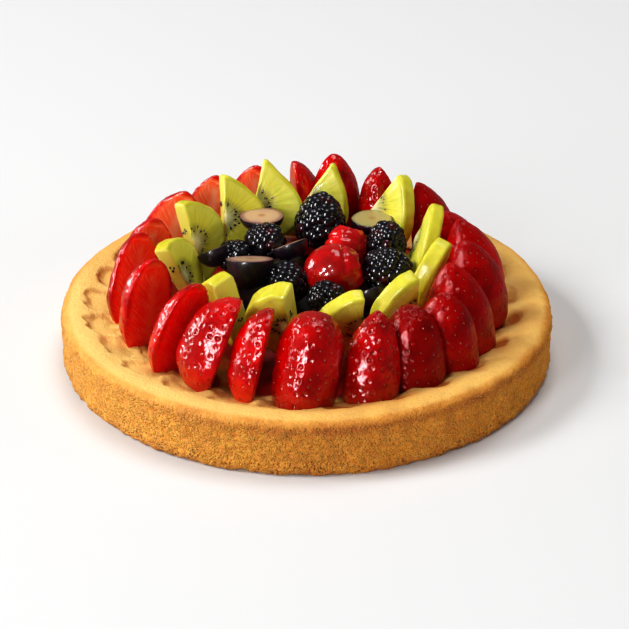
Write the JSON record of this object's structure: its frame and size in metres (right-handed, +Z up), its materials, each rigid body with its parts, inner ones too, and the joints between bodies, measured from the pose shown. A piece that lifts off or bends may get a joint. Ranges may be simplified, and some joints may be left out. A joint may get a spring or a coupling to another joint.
{
  "type": "fruit tart",
  "caption": "Round shortcrust fruit tart with a crimped rim, custard filling and rings of glazed strawberry and green fruit slices around heaped dark berries.",
  "frame": {"origin": "centre of the flat underside of the tart", "axes": "+Z up through the middle of the tart, -Y towards the front, +X to the right seen from the front"},
  "size_m": [0.24, 0.24, 0.0735],
  "materials": {
    "shortcrust": "matte",
    "custard": "satin",
    "strawberry_flesh": "gloss",
    "kiwi_flesh": "gloss",
    "bramble_skin": "gloss",
    "red_berry_skin": "gloss",
    "grape_skin": "gloss"
  },
  "bodies": {
    "root": {"crust": "shortcrust", "custard": "custard", "strawberry_01": "strawberry_flesh", "strawberry_02": "strawberry_flesh", "strawberry_03": "strawberry_flesh", "strawberry_04": "strawberry_flesh", "strawberry_05": "strawberry_flesh", "strawberry_06": "strawberry_flesh", "strawberry_07": "strawberry_flesh", "strawberry_08": "strawberry_flesh", "strawberry_09": "strawberry_flesh", "strawberry_10": "strawberry_flesh", "strawberry_11": "strawberry_flesh", "strawberry_12": "strawberry_flesh", "strawberry_13": "strawberry_flesh", "strawberry_14": "strawberry_flesh", "strawberry_15": "strawberry_flesh", "strawberry_16": "strawberry_flesh", "strawberry_17": "strawberry_flesh", "strawberry_18": "strawberry_flesh", "strawberry_19": "strawberry_flesh", "strawberry_20": "strawberry_flesh", "strawberry_21": "strawberry_flesh", "kiwi_01": "kiwi_flesh", "kiwi_02": "kiwi_flesh", "kiwi_03": "kiwi_flesh", "kiwi_04": "kiwi_flesh", "kiwi_05": "kiwi_flesh", "kiwi_06": "kiwi_flesh", "kiwi_07": "kiwi_flesh", "kiwi_08": "kiwi_flesh", "kiwi_09": "kiwi_flesh", "kiwi_10": "kiwi_flesh", "kiwi_11": "kiwi_flesh", "kiwi_12": "kiwi_flesh", "bramble_01": "bramble_skin", "bramble_02": "bramble_skin", "bramble_03": "bramble_skin", "bramble_04": "bramble_skin", "bramble_05": "bramble_skin", "bramble_06": "bramble_skin", "bramble_07": "bramble_skin", "red_berry_01": "red_berry_skin", "red_berry_02": "red_berry_skin", "grape_01": "grape_skin", "grape_02": "grape_skin", "grape_03": "grape_skin", "grape_04": "grape_skin", "grape_05": "grape_skin", "grape_06": "grape_skin"}
  },
  "joints": []
}
